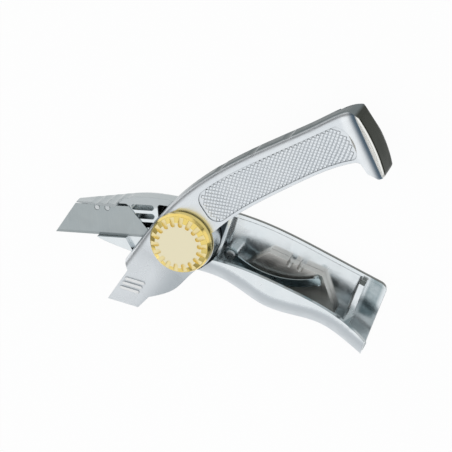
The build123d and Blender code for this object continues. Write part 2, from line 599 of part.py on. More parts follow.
# Clamp knob: flat face, bevelled rim with U-shaped notches, counterbored for the washer
with BuildPart() as knob:
    with BuildSketch(Plane.XZ):
        with BuildLine():
            Polyline((SCREW_RADIUS + SEAT_FIT, WASHER_ROOF), (WASHER_RADIUS + KNOB_GAP, WASHER_ROOF),
                     (WASHER_RADIUS + KNOB_GAP, KNOB_FOOT), (KNOB_RADIUS - KNOB_EDGE, KNOB_FOOT),
                     (KNOB_RADIUS, KNOB_FOOT + KNOB_EDGE), (KNOB_RADIUS, KNOB_FOOT + KNOB_SIDE),
                     (KNOB_SHOULDER[0], KNOB_FOOT + KNOB_SHOULDER[1]), (KNOB_FLAT, KNOB_TOP),
                     (0, KNOB_TOP), (0, SCREW_HEAD_Z + SEAT_FIT),
                     (SCREW_RADIUS + SEAT_FIT, SCREW_HEAD_Z + SEAT_FIT), close=True)
        make_face()
    revolve(axis=Axis.Z)
    with BuildSketch(Plane.XY.offset(KNOB_FOOT + NOTCH_FLOOR)):
        with PolarLocations(NOTCH_INNER + NOTCH_RADIUS, KNOB_NOTCHES):
            Circle(NOTCH_RADIUS)
            Rectangle(KNOB_RADIUS - NOTCH_INNER, 2 * NOTCH_RADIUS, align=(Align.MIN, Align.CENTER))
    extrude(amount=KNOB_HEIGHT, mode=Mode.SUBTRACT)

# Blade clip: a curved leaf with an eye at the post and a rolled tip
with BuildPart() as blade_clip:
    with BuildSketch(Plane.XY.offset(CLIP_Z)):
        with BuildLine(mode=Mode.PRIVATE) as leaf:
            sweep_line = ThreePointArc(*along((CLIP_ROOT, CLIP_MID, CLIP_TIP)))
        SlotArc(sweep_line, CLIP_WIDTH)
        with Locations(handle(*CLIP_ROOT)):
            Circle(CLIP_EYE)
            Circle(CLIP_SCREW_RADIUS + CLIP_POST_GAP, mode=Mode.SUBTRACT)
    extrude(amount=CLIP_THICKNESS)
    roll_plane = Plane(origin=sweep_line @ 1 + Vector(0, 0, CLIP_ROLL_Z), x_dir=sweep_line % 1,
                       z_dir=(sweep_line % 1).rotate(Axis.Z, 90))
    with BuildSketch(roll_plane.offset(-CLIP_ROLL_LENGTH / 2)):
        Circle(CLIP_ROLL)
    extrude(amount=CLIP_ROLL_LENGTH)

# Screw that holds the clip to the post
with BuildPart() as clip_screw:
    with BuildSketch(Plane.XY.offset(POST_TOP - CLIP_SCREW_DEPTH)):
        with Locations(handle(*CLIP_ROOT)):
            Circle(CLIP_SCREW_RADIUS)
    extrude(amount=CLIP_SCREW_Z - POST_TOP + CLIP_SCREW_DEPTH)
    with BuildSketch(Plane.XY.offset(CLIP_SCREW_Z)):
        with Locations(handle(*CLIP_ROOT)):
            Circle(CLIP_SCREW_HEAD)
    extrude(amount=CLIP_SCREW_HEAD_HEIGHT)
    chamfer(clip_screw.faces().sort_by(Axis.Z)[-1].edges(), length=CLIP_POST_GAP)


def peg_at(place):
    """Peg that stands in the blade seat, in one notch of the working blade."""
    with BuildPart() as peg:
        with BuildSketch(Plane.XY.offset(PEG_FOOT)):
            with Locations(place):
                Circle(PEG_RADIUS)
        extrude(amount=PEG_TOP - PEG_FOOT)
    return peg


def blade_on(plane):
    """Trapezoid blade whose cutting edge starts at the plane's origin and runs along its x."""
    inset = (BLADE_LENGTH - BLADE_SHORT_EDGE) / 2
    with BuildPart() as blade:
        with BuildSketch(plane):
            with BuildLine():
                Polyline((0, 0), (BLADE_LENGTH, 0), (BLADE_LENGTH - inset, BLADE_HEIGHT),
                         (inset, BLADE_HEIGHT), close=True)
            make_face()
            with Locations((BLADE_LENGTH / 2, BLADE_HEIGHT)):
                with GridLocations(NOTCH_SPACING, 0, 2, 1):
                    SlotOverall(2 * NOTCH_DEPTH, NOTCH_WIDTH, rotation=90, mode=Mode.SUBTRACT)
        extrude(amount=BLADE_THICKNESS)
        edge_middle = plane.from_local_coords((BLADE_LENGTH / 2, 0, BLADE_THICKNESS / 2))
        edge_face = blade.faces().sort_by_distance(edge_middle)[0]
        chamfer(edge_face.edges().filter_by(lambda e: e.length > BLADE_SHORT_EDGE), length=BEVEL_DEPTH,
                length2=BEVEL_WIDTH, reference=edge_face)
    return blade


pieces = {"front_shell": front_shell, "rear_shell": rear_shell, "knob": knob, "clamp_screw": clamp_screw,
          "thrust_washer": thrust_washer, "retaining_ring": retaining_ring,
          "threaded_insert": threaded_insert, "pivot_sleeve": pivot_sleeve, "blade_clip": blade_clip,
          "clip_screw": clip_screw}
for k, place in enumerate(PEGS):
    pieces[f"locating_peg_{k + 1}"] = peg_at(place)
pieces["working_blade"] = blade_on(Plane(origin=(BLADE_TIP_X, BLADE_EDGE_Y, SEAT_Z + BLADE_SEAT_GAP)))
for k in range(SPARE_COUNT):
    spare_at = handle(SPARE_S, SPARE_N) + (SPARE_FLOOR + k * SPARE_PITCH,)
    pieces[f"spare_blade_{k + 1}"] = blade_on(Plane(origin=spare_at, x_dir=handle(1, 0) + (0,)))

os.makedirs("parts", exist_ok=True)
for name, piece in pieces.items():
    piece.part.label = name
    export_step(piece.part, f"parts/{name}.step")
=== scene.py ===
"""Swing-open utility knife, shown opened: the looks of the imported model.

Every node gets its finish, the front casting is rolled round at the pommel, the grip is chequered,
and a plain studio with its camera stands round the knife.
"""
import logging
from dataclasses import dataclass, field
from enum import Enum
from math import cos, pi, radians, sin, sqrt

import bmesh
import bpy
from bmesh.types import BMesh, BMFace, BMVert
from bpy.types import ID, Material, Node, NodeSocket as Socket, NodeTree, Object
from mathutils import Matrix, Vector


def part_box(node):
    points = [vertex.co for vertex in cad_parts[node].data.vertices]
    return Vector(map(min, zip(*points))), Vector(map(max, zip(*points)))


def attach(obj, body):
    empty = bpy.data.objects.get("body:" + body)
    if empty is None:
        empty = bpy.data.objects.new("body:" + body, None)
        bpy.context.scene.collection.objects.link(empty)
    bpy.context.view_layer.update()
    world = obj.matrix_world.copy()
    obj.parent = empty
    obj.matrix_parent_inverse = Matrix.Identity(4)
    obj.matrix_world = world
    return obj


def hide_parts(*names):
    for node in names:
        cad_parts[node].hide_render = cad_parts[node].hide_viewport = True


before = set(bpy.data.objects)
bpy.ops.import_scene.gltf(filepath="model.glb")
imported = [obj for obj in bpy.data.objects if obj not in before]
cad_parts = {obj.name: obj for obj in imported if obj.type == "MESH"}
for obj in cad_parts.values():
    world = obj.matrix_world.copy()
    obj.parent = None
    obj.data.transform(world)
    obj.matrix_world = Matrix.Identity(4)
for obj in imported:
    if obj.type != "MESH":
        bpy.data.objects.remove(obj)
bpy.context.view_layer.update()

LOG = logging.getLogger("knife")
MM = 0.001
UP = Vector((0.0, 0.0, 1.0))
GRAIN_SCALE = 900.0
RUB_SCALE = 120.0
BRUSH_SCALE = 2600.0

Surface = tuple[Socket, Socket, Socket]
Colour = tuple[float, float, float]
Place = tuple[float, float, float]
Span = tuple[float, float]
Station = tuple[float, float]


class Body(str, Enum):
    """Moving bodies that the new pieces ride on."""

    FRONT = "front"


class Slot(str, Enum):
    """Material slots of the record that a finish belongs to."""

    FRONT_CASTING = "front_casting"
    REAR_CASTING = "rear_casting"
    GOLD_KNOB = "gold_knob"
    PLATED_STEEL = "plated_steel"
    SPRING_STEEL = "spring_steel"
    BEARING_BRONZE = "bearing_bronze"
    INSERT_BRASS = "insert_brass"
    BLADE_STEEL = "blade_steel"


class Sheet:
    """Node tree with short calls to add and join nodes."""

    # Sockets of a Mix node for colours: the share and the two colours, then the result
    MIX_INPUTS: tuple[int, int, int] = (0, 6, 7)
    MIX_RESULT: int = 2

    def __init__(self, tree: NodeTree) -> None:
        """Hold the tree that the nodes go into."""
        self.tree = tree

    def node(self, kind: str, **values: object) -> Node:
        """Add one node.

        Args:
            kind: Type of the node.
            values: Properties of the node, or input sockets by name with _ for a space.

        Returns:
            The new node.
        """
        made = self.tree.nodes.new(kind)
        for key, value in values.items():
            if hasattr(made, key):
                setattr(made, key, value)
            else:
                self.feed(made, key.replace("_", " "), value)
        return made

    def feed(self, node: Node, name: str | int, value: object) -> None:
        """Set an input socket to a value, or join it to another node's output.

        Args:
            node: Node whose input is set.
            name: Name or number of the input.
            value: Plain value or output socket.
        """
        socket = node.inputs[name]
        if isinstance(value, Socket):
            self.tree.links.new(value, socket)
        else:
            socket.default_value = value

    def math(self, operation: str, *terms: object, clamp: bool = False) -> Socket:
        """Add a Math node.

        Args:
            operation: Name of the operation.
            terms: Values or sockets, in order.
            clamp: Whether the result is held between 0 and 1.

        Returns:
            The node's output.
        """
        made = self.node("ShaderNodeMath", operation=operation, use_clamp=clamp)
        for place, term in enumerate(terms):
            self.feed(made, place, term)
        return made.outputs[0]

    def product(self, first: object, second: object) -> Socket:
        """Multiply two values or masks."""
        return self.math("MULTIPLY", first, second)

    def fade(self, value: Socket, start: float, stop: float, low: float = 0.0,
             high: float = 1.0) -> Socket:
        """Map a value smoothly from one range to another.

        Args:
            value: Socket that is mapped.
            start: Value that gives low.
            stop: Value that gives high; it may lie below start.
            low: Result at start.
            high: Result at stop.

        Returns:
            The mapped value.
        """
        made = self.node("ShaderNodeMapRange", interpolation_type="SMOOTHSTEP")
        for place, term in enumerate((value, start, stop, low, high)):
            self.feed(made, place, term)
        return made.outputs[0]

    def mix(self, share: Socket, first: object, second: object) -> Socket:
        """Mix two colours.

        Args:
            share: Share of the second colour.
            first: Colour at share 0.
            second: Colour at share 1.

        Returns:
            The mixed colour.
        """
        made = self.node("ShaderNodeMix", data_type="RGBA")
        for place, term in zip(self.MIX_INPUTS, (share, first, second)):
            self.feed(made, place, (*term, 1.0) if isinstance(term, tuple) else term)
        return made.outputs[self.MIX_RESULT]

    def coordinates(self, kind: str) -> Socket:
        """Give coordinates of a kind, such as Object or Normal."""
        return self.node("ShaderNodeTexCoord").outputs[kind]

    def height(self, vector: Socket) -> Socket:
        """Give the part of a vector along +Z."""
        return self.node("ShaderNodeSeparateXYZ", Vector=vector).outputs["Z"]

    def along(self, vector: Socket, turn: float, rise: float = 0.0) -> Socket:
        """Give the part of a vector along a direction.

        Args:
            vector: The vector.
            turn: Angle of the direction from +X.
            rise: Angle of the direction from level.

        Returns:
            The length along it.
        """
        dot = self.node("ShaderNodeVectorMath", operation="DOT_PRODUCT")
        self.feed(dot, 0, vector)
        self.feed(dot, 1, (cos(turn) * cos(rise), sin(turn) * cos(rise), sin(rise)))
        return dot.outputs["Value"]

    def drawn_out(self, vector: Socket, turn: object, stretch: float) -> Socket:
        """Turn coordinates about +Z and shrink them along X, which draws a pattern out there.

        Args:
            vector: The coordinates.
            turn: Angle that they are turned by.
            stretch: What they are multiplied by along X.

        Returns:
            The new coordinates.
        """
        turned = self.node("ShaderNodeVectorRotate", rotation_type="Z_AXIS", Vector=vector, Angle=turn)
        long = self.node("ShaderNodeVectorMath", operation="MULTIPLY")
        self.feed(long, 0, turned.outputs[0])
        self.feed(long, 1, (stretch, 1.0, 1.0))
        return long.outputs[0]


def new_group(name: str, inputs: dict[str, float],
              outputs: tuple[str, ...]) -> tuple[Sheet, dict[str, Socket], Node]:
    """Start a shader node group that reads Object coordinates through its Place input.

    Args:
        name: Name of the group.
        inputs: Value inputs with their defaults.
        outputs: Names of the value outputs.

    Returns:
        The group's sheet, its inputs by name and its output node.
    """
    tree = bpy.data.node_groups.new(name, "ShaderNodeTree")
    tree.interface.new_socket("Place", in_out="INPUT", socket_type="NodeSocketVector")
    for key, value in inputs.items():
        socket = tree.interface.new_socket(key, in_out="INPUT", socket_type="NodeSocketFloat")
        socket.default_value = value
    for key in outputs:
        tree.interface.new_socket(key, in_out="OUTPUT", socket_type="NodeSocketFloat")
    sheet = Sheet(tree)
    given = {socket.name: socket for socket in sheet.node("NodeGroupInput").outputs}
    return sheet, given, sheet.node("NodeGroupOutput")


@dataclass
class Effects:
    """Shader node groups that the finishes share.

    A share is of the group's Scale, a span is where a noise fades from 0 to 1, and a scratch way is
    an extra turn with its stretch.
    """

    grain_detail: float = 4.0
    mottle_share: float = 0.07
    mottle_detail: float = 3.0
    mottle_span: Span = (0.3, 0.7)
    pit_share: float = 0.5
    pit_rim: Span = (0.05, 0.16)
    pit_depth: float = 0.4
    scratch_turn: float = 0.5
    scratch_ways: tuple[tuple[float, float], ...] = ((0.0, 0.035), (1.1, 0.05))
    scratch_share: float = 9.0
    scratch_detail: float = 6.0
    scratch_roughness: float = 0.7
    scratch_span: Span = (0.60, 0.70)
    smudge_detail: float = 2.0
    smudge_bend: float = 0.8
    smudge_span: Span = (0.35, 0.75)
    brush_stretch: float = 0.02
    brush_detail: float = 3.0
    brush_span: Span = (0.3, 0.7)
    grain: NodeTree = field(init=False)
    rubs: NodeTree = field(init=False)
    brush: NodeTree = field(init=False)

    def __post_init__(self) -> None:
        """Build the groups once."""
        self.grain = self.casting_grain()
        self.rubs = self.hand_rubs()
        self.brush = self.brush_lines()

    def casting_grain(self) -> NodeTree:
        """Build the mottle and orange peel of a tumbled casting.

        Returns:
            Group with Height and Mottle outputs.
        """
        sheet, given, out = new_group("casting_grain", {"Scale": GRAIN_SCALE}, ("Height", "Mottle"))
        place, scale = given["Place"], given["Scale"]
        fine = sheet.node("ShaderNodeTexNoise", Vector=place, Scale=scale, Detail=self.grain_detail)
        wide = sheet.node("ShaderNodeTexNoise", Vector=place, Detail=self.mottle_detail,
                          Scale=sheet.product(scale, self.mottle_share))
        cells = sheet.node("ShaderNodeTexVoronoi", Vector=place,
                           Scale=sheet.product(scale, self.pit_share))
        pits = sheet.fade(cells.outputs["Distance"], *self.pit_rim, 1.0, 0.0)
        height = sheet.math("SUBTRACT", fine.outputs[0], sheet.product(pits, self.pit_depth))
        sheet.feed(out, "Height", height)
        sheet.feed(out, "Mottle", sheet.fade(wide.outputs[0], *self.mottle_span))
        return sheet.tree

    def hand_rubs(self) -> NodeTree:
        """Build fine crossing scratches and smudges of handling.

        Returns:
            Group with Scratch and Smudge outputs.
        """
        sheet, given, out = new_group("hand_rubs", {"Scale": RUB_SCALE, "Turn": self.scratch_turn},
                                      ("Scratch", "Smudge"))
        place, scale = given["Place"], given["Scale"]
        marks = []
        for extra, stretch in self.scratch_ways:
            turn = sheet.math("ADD", given["Turn"], extra)
            line = sheet.node("ShaderNodeTexNoise", Vector=sheet.drawn_out(place, turn, stretch),
                              Scale=sheet.product(scale, self.scratch_share),
                              Detail=self.scratch_detail, Roughness=self.scratch_roughness)
            marks.append(sheet.fade(line.outputs[0], *self.scratch_span))
        smudge = sheet.node("ShaderNodeTexNoise", Vector=place, Scale=scale,
                            Detail=self.smudge_detail, Distortion=self.smudge_bend)
        sheet.feed(out, "Scratch", sheet.math("MAXIMUM", *marks))
        sheet.feed(out, "Smudge", sheet.fade(smudge.outputs[0], *self.smudge_span))
        return sheet.tree

    def brush_lines(self) -> NodeTree:
        """Build the parallel lines that a grinding belt leaves.

        Returns:
            Group with Height and Tone outputs.
        """
        sheet, given, out = new_group("brush_lines", {"Scale": BRUSH_SCALE, "Turn": 0.0},
                                      ("Height", "Tone"))
        way = sheet.drawn_out(given["Place"], given["Turn"], self.brush_stretch)
        line = sheet.node("ShaderNodeTexNoise", Vector=way, Scale=given["Scale"],
                          Detail=self.brush_detail)
        sheet.feed(out, "Height", line.outputs[0])
        sheet.feed(out, "Tone", sheet.fade(line.outputs[0], *self.brush_span))
        return sheet.tree


@dataclass(frozen=True)
class Finish:
    """Metal finish with grain, rubs or brush lines, and shade in its hollows.

    The tone lies between base and worn; roughness runs between smooth and rough.
    Lengths are in metres.
    """

    slot: Slot
    base: Colour
    worn: Colour
    smooth: float
    rough: float
    grain_scale: float = GRAIN_SCALE
    grain_height: float = 0.00002
    rub_scale: float = RUB_SCALE
    brush_turn: float | None = None
    brush_scale: float = BRUSH_SCALE
    brush_share: float = 0.5
    scratch_tone: float = 0.55
    mottle_tone: float = 0.5
    smudge_rough: float = 0.6
    mottle_rough: float = 0.4
    edge_round: float = 0.0003
    edge_samples: int = 4
    edge_tint: Colour = (1.0, 1.0, 1.0)
    shade: Colour = (0.10, 0.12, 0.13)
    shade_reach: float = 0.010
    shade_share: float = 0.0
    shade_span: Span = (0.25, 0.95)
    shade_alone: bool = True
    shade_samples: int = 8

    def dress(self, name: str, effects: Effects) -> Material:
        """Build the whole material.

        Args:
            name: Name of the material.
            effects: Shared node groups.

        Returns:
            The material.
        """
        material = bpy.data.materials.new(name)
        material.use_nodes = True
        sheet = Sheet(material.node_tree)
        place = sheet.coordinates("Object")
        tone, rough, height = self.surface(sheet, place, effects)
        tone = self.hollows(sheet, self.colour(sheet, place, tone))
        soft = sheet.node("ShaderNodeBevel", samples=self.edge_samples, Radius=self.edge_round)
        bump = sheet.node("ShaderNodeBump", Distance=self.grain_height, Height=height,
                          Normal=soft.outputs[0])
        shader = material.node_tree.nodes["Principled BSDF"]
        sheet.feed(shader, "Metallic", 1.0)
        sheet.feed(shader, "Specular Tint", (*self.edge_tint, 1.0))
        sheet.feed(shader, "Base Color", tone)
        sheet.feed(shader, "Roughness", rough)
        sheet.feed(shader, "Normal", bump.outputs[0])
        return material

    def surface(self, sheet: Sheet, place: Socket, effects: Effects) -> Surface:
        """Lay grain, rubs and brush lines.

        Args:
            sheet: Sheet of the material.
            place: Object coordinates.
            effects: Shared node groups.

        Returns:
            Sockets of the colour, the roughness and the bump's height.
        """
        grain = sheet.node("ShaderNodeGroup", node_tree=effects.grain, Place=place,
                           Scale=self.grain_scale)
        rubs = sheet.node("ShaderNodeGroup", node_tree=effects.rubs, Place=place,
                          Scale=self.rub_scale)
        height, mottle = grain.outputs["Height"], grain.outputs["Mottle"]
        if self.brush_turn is not None:
            brush = sheet.node("ShaderNodeGroup", node_tree=effects.brush, Place=place,
                               Scale=self.brush_scale, Turn=self.brush_turn)
            height = brush.outputs["Height"]
            both = sheet.math("ADD", mottle, brush.outputs["Tone"])
            mottle = sheet.product(both, self.brush_share)
        wear = sheet.product(rubs.outputs["Scratch"], self.scratch_tone)
        share = sheet.math("MULTIPLY_ADD", mottle, self.mottle_tone, wear, clamp=True)
        tone = sheet.mix(share, self.base, self.worn)
        smear = sheet.math("MULTIPLY_ADD", rubs.outputs["Smudge"], self.smudge_rough,
                           sheet.product(mottle, self.mottle_rough))
        return tone, sheet.fade(smear, 0.0, 1.0, self.smooth, self.rough), height

    def colour(self, sheet: Sheet, place: Socket, tone: Socket) -> Socket:
        """Give the colour as it is; other finishes change it by place."""
        return tone

    def hollows(self, sheet: Sheet, tone: Socket) -> Socket:
        """Shade corners and hollows, where the finish has a share for it.

        Args:
            sheet: Sheet of the material.
            tone: Colour without shade.

        Returns:
            The shaded colour.
        """
        if not self.shade_share:
            return tone
        hollow = sheet.node("ShaderNodeAmbientOcclusion", samples=self.shade_samples,
                            only_local=self.shade_alone, Distance=self.shade_reach)
        depth = sheet.fade(hollow.outputs["AO"], *self.shade_span, self.shade_share, 0.0)
        return sheet.mix(depth, tone, self.shade)


@dataclass(frozen=True)
class KnobFinish(Finish):
    """Gold plating: pale and matt where it faces up, bright and yellower on bevel and walls."""

    face_rise: Span = (0.88, 0.97)
    face_tone: Colour = (0.98, 0.90, 0.66)
    face_rough: float = 0.55
    floor_share: float = 0.45
    face_drop: Span = (0.0012, 0.0004)

    def face(self, sheet: Sheet) -> Socket:
        """Mask what faces up.

        Args:
            sheet: Sheet of the material.

        Returns:
            1 on the flat face, less on the notches' floors, and 0 on bevel and walls.
        """
        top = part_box("knob")[1].z
        rise = sheet.fade(sheet.height(sheet.coordinates("Normal")), *self.face_rise)
        level = sheet.fade(sheet.height(sheet.coordinates("Object")),
                           *(top - drop for drop in self.face_drop), self.floor_share, 1.0)
        return sheet.product(rise, level)

    def surface(self, sheet: Sheet, place: Socket, effects: Effects) -> Surface:
        """Add the matt face to the plating's own surface.

        Args:
            sheet: Sheet of the material.
            place: Object coordinates.
            effects: Shared node groups.

        Returns:
            Sockets of the colour, the roughness and the bump's height.
        """
        tone, rough, height = super().surface(sheet, place, effects)
        face = self.face(sheet)
        lift = sheet.product(face, sheet.math("SUBTRACT", self.face_rough, rough))
        return sheet.mix(face, tone, self.face_tone), sheet.math("ADD", rough, lift), height


@dataclass(frozen=True)
class ShellFinish(Finish):
    """Casting with bright faces and painted shade on its sideways flanks.

    A pair that ends in facing or rise is a part of the surface's own direction. The other pairs of
    the castings are places in metres from the pivot, between which a tone fades in or out.
    """

    # Painted shade: the colour that sideways-facing faces are darkened towards.
    flank_shade: Colour = (0.30, 0.33, 0.34)
    flank_rise: Span = (0.0, 0.35)

    def colour(self, sheet: Sheet, place: Socket, tone: Socket) -> Socket:
        """Darken the flanks with painted shade."""
        return sheet.mix(self.sideways(sheet), tone, self.flank_shade)

    def sideways(self, sheet: Sheet) -> Socket:
        """Mask what faces sideways."""
        return sheet.fade(sheet.height(sheet.coordinates("Normal")), *self.flank_rise, 1.0, 0.0)


@dataclass(frozen=True)
class FrontFinish(ShellFinish):
    """Front casting: painted light on nose, flare and ridge; painted shade on spine, cove, pommel end.
    """

    # Painted light on the nose, and painted shade on its low side.
    nose: Colour = (0.90, 0.93, 0.96)
    nose_start: Span = (-0.016, -0.034)
    nose_low: Colour = (0.58, 0.62, 0.65)
    nose_low_start: Span = (-0.004, -0.014)
    nose_low_side: Span = (-0.004, 0.011)
    # Painted highlight on the tops of the tongue's ribs.
    rib_highlight: Colour = (1.0, 1.0, 1.0)
    rib_turn: float = radians(53.0)
    rib_slope: float = radians(9.13)
    rib_height: Span = (0.02846, 0.02871)
    rib_start: Span = (-0.038, -0.040)
    # Painted highlight on the flare before the cove.
    flare_highlight: Colour = (0.92, 0.94, 0.96)
    flare_highlight_start: Span = (0.1175, 0.1205)
    # Painted shade in the cove.
    cove: Colour = (0.15, 0.21, 0.27)
    cove_start: Span = (0.1225, 0.1268)
    # Painted highlight on the ridge.
    ridge: Colour = (0.97, 0.96, 0.92)
    ridge_start: Span = (0.1275, 0.1284)
    spine_turn: float = radians(31.0)
    spine_start: Span = (0.0, 0.004)
    spine_facing: Span = (-0.40, -0.15)
    # Painted dark reflection on the pommel's end.
    end: Colour = (0.030, 0.033, 0.024)
    end_turn: float = radians(22.2)
    end_start: Span = (0.1270, 0.1290)
    end_facing: Span = (0.45, 0.75)

    def colour(self, sheet: Sheet, place: Socket, tone: Socket) -> Socket:
        """Paint light and shade onto the nose, the cove, the side of the spine and the pommel's end.

        Args:
            sheet: Sheet of the material.
            place: Object coordinates.
            tone: Colour of the faces.

        Returns:
            The colour of the whole casting.
        """
        station = sheet.along(place, self.end_turn)
        outward = sheet.along(sheet.coordinates("Normal"), self.end_turn)
        tone = self.cove_bands(sheet, station, self.nose_light_and_shade(sheet, place, tone))
        # Painted shade on the spine's faces that turn sideways and outward.
        spine = sheet.fade(sheet.along(place, self.spine_turn + pi / 2), *self.spine_start)
        flank_shade = sheet.product(self.sideways(sheet), spine)
        outer = sheet.fade(outward, *self.spine_facing)
        tone = sheet.mix(sheet.product(flank_shade, outer), tone, self.flank_shade)
        # Painted dark reflection on the pommel's end.
        end = sheet.product(sheet.fade(station, *self.end_start),
                            sheet.fade(outward, *self.end_facing))
        return sheet.mix(end, tone, self.end)

    def nose_light_and_shade(self, sheet: Sheet, place: Socket, tone: Socket) -> Socket:
        """Paint light on the nose, shade on its low side and highlights on the tops of the tongue's
        ribs.

        Args:
            sheet: Sheet of the material.
            place: Object coordinates.
            tone: Colour of the faces.

        Returns:
            The colour with the nose's tones.
        """
        reach = sheet.along(place, self.rib_turn)
        # Painted light on the nose.
        tone = sheet.mix(sheet.fade(reach, *self.nose_start), tone, self.nose)
        # Painted shade on the nose's low side.
        side = sheet.fade(sheet.along(place, self.rib_turn - pi / 2), *self.nose_low_side)
        low = sheet.product(sheet.fade(reach, *self.nose_low_start), side)
        tone = sheet.mix(low, tone, self.nose_low)
        # Painted highlight on the tops of the ribs.
        level = sheet.along(place, self.rib_turn + pi, pi / 2 - self.rib_slope)
        proud = sheet.product(sheet.fade(level, *self.rib_height), sheet.fade(reach, *self.rib_start))
        return sheet.mix(proud, tone, self.rib_highlight)

    def cove_bands(self, sheet: Sheet, station: Socket, tone: Socket) -> Socket:
        """Paint a highlight on the flare before the cove, shade in the cove and a highlight on its
        ridge.

        Args:
            sheet: Sheet of the material.
            station: Distance along the pommel's axis.
            tone: Colour of the faces.

        Returns:
            The colour with the bands.
        """
        # Painted highlight on the flare.
        tone = sheet.mix(sheet.fade(station, *self.flare_highlight_start), tone, self.flare_highlight)
        # Painted shade in the cove.
        band = sheet.product(sheet.fade(station, *self.cove_start),
                             sheet.fade(station, *self.ridge_start, 1.0, 0.0))
        tone = sheet.mix(band, tone, self.cove)
        # Painted highlight on the ridge.
        return sheet.mix(sheet.fade(station, *self.ridge_start), tone, self.ridge)


@dataclass(frozen=True)
class RearFinish(ShellFinish):
    """Rear casting: polished trough, satin belly; painted shade on top bar and back, light and shade
    in end hollow.
    """

    turn: float = radians(-22.0)
    belly: Colour = (0.66, 0.70, 0.73)
    belly_start: Span = (0.002, -0.002)
    belly_facing: Span = (0.02, 0.12)
    belly_rough: float = 0.22
    # Painted shade on the top bar.
    bar: Colour = (0.52, 0.55, 0.56)
    bar_start: Span = (0.012, 0.014)
    bar_stop: Span = (-0.004, -0.010)
    # Painted shade, mottled by noise, on the end hollow's low side.
    end_hollow_shade: Colour = (0.30, 0.37, 0.39)
    cloud_start: Span = (0.1055, 0.1075)
    cloud_stop: Span = (0.1165, 0.1135)
    cloud_low: Span = (-0.0105, -0.0075)
    cloud_scale: float = 160.0
    cloud_detail: float = 3.0
    cloud_noise: tuple[float, float, float, float] = (0.25, 0.75, 0.65, 1.0)
    # Painted light over the end hollow and on walls that face along the handle.
    wall_and_hollow_light: Colour = (0.90, 0.93, 0.95)
    wall_facing: Span = (0.5, 0.8)
    # Painted shade on the top side's outward faces, past the pivot.
    back: Colour = (0.12, 0.13, 0.12)
    back_facing: Span = (0.55, 0.85)
    back_start: Span = (0.012, 0.020)
    back_side: Span = (0.006, 0.010)
    # Painted shadow between the knob and the bulkhead.
    gap_shadow: Colour = (0.045, 0.055, 0.060)
    gap_start: Span = (0.004, 0.008)
    gap_stop: Span = (0.0195, 0.0188)

    def belly_mask(self, sheet: Sheet) -> Socket:
        """Mask the belly's outside.

        Args:
            sheet: Sheet of the material.

        Returns:
            1 on the outside of the belly, 0 elsewhere.
        """
        offset = sheet.along(sheet.coordinates("Object"), self.turn + pi / 2)
        outward = sheet.along(sheet.coordinates("Normal"), self.turn - pi / 2)
        return sheet.product(sheet.fade(offset, *self.belly_start),
                             sheet.fade(outward, *self.belly_facing))

    def surface(self, sheet: Sheet, place: Socket, effects: Effects) -> Surface:
        """Add the satin belly to the polished casting.

        Args:
            sheet: Sheet of the material.
            place: Object coordinates.
            effects: Shared node groups.

        Returns:
            Sockets of the colour, the roughness and the bump's height.
        """
        tone, rough, height = super().surface(sheet, place, effects)
        belly = self.belly_mask(sheet)
        satin = sheet.math("MULTIPLY_ADD", belly, self.belly_rough, rough)
        return sheet.mix(belly, tone, self.belly), satin, height

    def colour(self, sheet: Sheet, place: Socket, tone: Socket) -> Socket:
        """Paint light and shade onto the top bar, end hollow, flanks, end walls, back and pivot space.

        Args:
            sheet: Sheet of the material.
            place: Object coordinates.
            tone: Colour of the faces.

        Returns:
            The colour of the whole casting.
        """
        inside = sheet.fade(self.belly_mask(sheet), 0.0, 1.0, 1.0, 0.0)
        station = sheet.along(place, self.turn)
        offset = sheet.along(place, self.turn + pi / 2)
        facing = sheet.coordinates("Normal")
        # Painted shade on the top bar.
        bar = sheet.product(sheet.fade(sheet.along(place, pi / 2), *self.bar_start),
                            sheet.fade(sheet.along(place, 0.0), *self.bar_stop))
        tone = sheet.mix(bar, tone, self.bar)
        # Painted light over the end hollow, and painted shade, mottled, on its low side.
        room = sheet.product(self.stretch(sheet, station, self.cloud_start, self.cloud_stop), inside)
        tone = sheet.mix(room, tone, self.wall_and_hollow_light)
        low = sheet.product(room, sheet.fade(offset, *self.cloud_low))
        tone = sheet.mix(sheet.product(low, self.clouds(sheet, place)), tone, self.end_hollow_shade)
        # Painted shade on the flanks.
        tone = super().colour(sheet, place, tone)
        # Painted light on walls that face along the handle.
        walls = sheet.fade(sheet.along(facing, self.turn), *self.wall_facing)
        tone = sheet.mix(walls, tone, self.wall_and_hollow_light)
        # Painted shade on the top side's outward faces.
        back = sheet.product(sheet.fade(station, *self.back_start),
                             sheet.fade(sheet.along(facing, self.turn + pi / 2), *self.back_facing))
        back = sheet.product(back, sheet.fade(offset, *self.back_side))
        tone = sheet.mix(back, tone, self.back)
        # Painted shadow between the knob and the bulkhead.
        gap_shadow = sheet.product(self.stretch(sheet, station, self.gap_start, self.gap_stop), inside)
        return sheet.mix(gap_shadow, tone, self.gap_shadow)

    def clouds(self, sheet: Sheet, place: Socket) -> Socket:
        """Make the mottled pattern of the painted shade in the end hollow.

        Args:
            sheet: Sheet of the material.
            place: Object coordinates.

        Returns:
            The share of the painted shade.
        """
        noise = sheet.node("ShaderNodeTexNoise", Vector=place, Scale=self.cloud_scale,
                           Detail=self.cloud_detail)
        return sheet.fade(noise.outputs[0], *self.cloud_noise)

    @staticmethod
    def stretch(sheet: Sheet, station: Socket, start: Span, stop: Span) -> Socket:
        """Mask a stretch that fades in over start and out over stop."""
        return sheet.product(sheet.fade(station, *start), sheet.fade(station, *stop))


